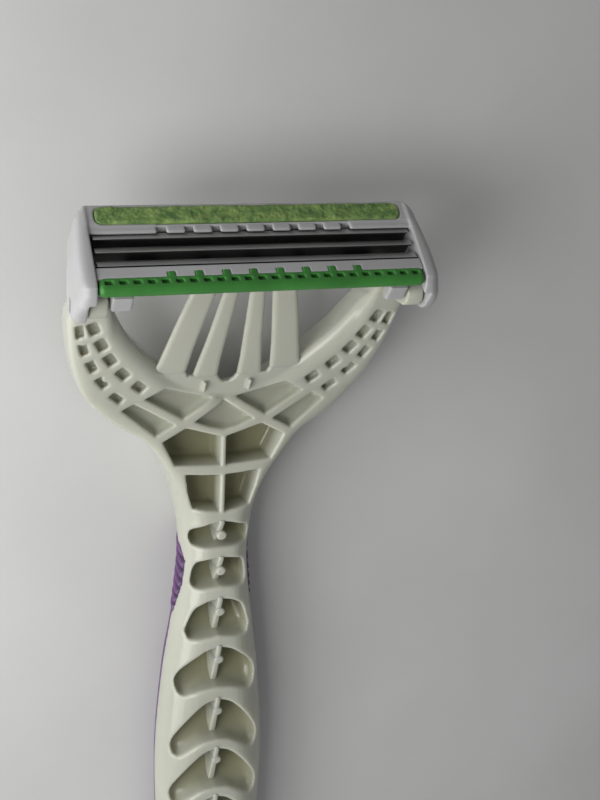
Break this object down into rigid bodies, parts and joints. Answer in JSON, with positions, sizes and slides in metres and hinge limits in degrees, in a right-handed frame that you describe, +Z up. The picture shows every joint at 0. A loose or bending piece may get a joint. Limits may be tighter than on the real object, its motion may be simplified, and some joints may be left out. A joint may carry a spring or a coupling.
{
  "type": "razor",
  "caption": "Three-blade shaving razor with a pivoting head on a ribbed one-piece handle that forks into a yoke, with springy fingers and a soft grip sleeve",
  "frame": {"origin": "middle of the footprint, on the surface that the razor lies on with its blades up", "axes": "+X across the head, +Y along the handle from the tail to the head, +Z up out of the ribbed side of the handle"},
  "size_m": [0.0418, 0.1466, 0.025],
  "materials": {
    "handle": "off-white moulded plastic, satin to glossy",
    "grip_sleeve": "soft purple overmoulding with fine ridges",
    "finger_1": "off-white moulded plastic",
    "finger_2": "off-white moulded plastic",
    "finger_3": "off-white moulded plastic",
    "finger_4": "off-white moulded plastic",
    "head_base": "cool white moulded plastic",
    "head_cover": "cool white moulded plastic",
    "guard_strip": "soft green rubber with small pockets",
    "lubricating_strip": "mottled green water-soluble strip",
    "blade_1": "thin ground steel with a bright edge",
    "blade_2": "thin ground steel with a bright edge",
    "blade_3": "thin ground steel with a bright edge",
    "blade_support_1": "bent steel strip",
    "blade_support_2": "bent steel strip",
    "blade_support_3": "bent steel strip"
  },
  "bodies": {
    "handle_body": {"handle": "handle", "grip_sleeve": "grip_sleeve", "finger_1": "finger_1", "finger_2": "finger_2", "finger_3": "finger_3", "finger_4": "finger_4"},
    "head_body": {"head_base": "head_base", "head_cover": "head_cover", "guard_strip": "guard_strip", "lubricating_strip": "lubricating_strip", "blade_1": "blade_1", "blade_2": "blade_2", "blade_3": "blade_3", "blade_support_1": "blade_support_1", "blade_support_2": "blade_support_2", "blade_support_3": "blade_support_3"}
  },
  "joints": [
    {"name": "head_pivot", "type": "hinge", "parent": "handle_body", "child": "head_body", "pos_m": [0, 0.0638, 0.0216], "axis": [-1, 0, 0], "range_deg": [0, 30], "stiffness_Nm_per_rad": 0.02, "springref_deg": -8.59, "deforming": ["finger_1", "finger_2", "finger_3", "finger_4"]}
  ]
}
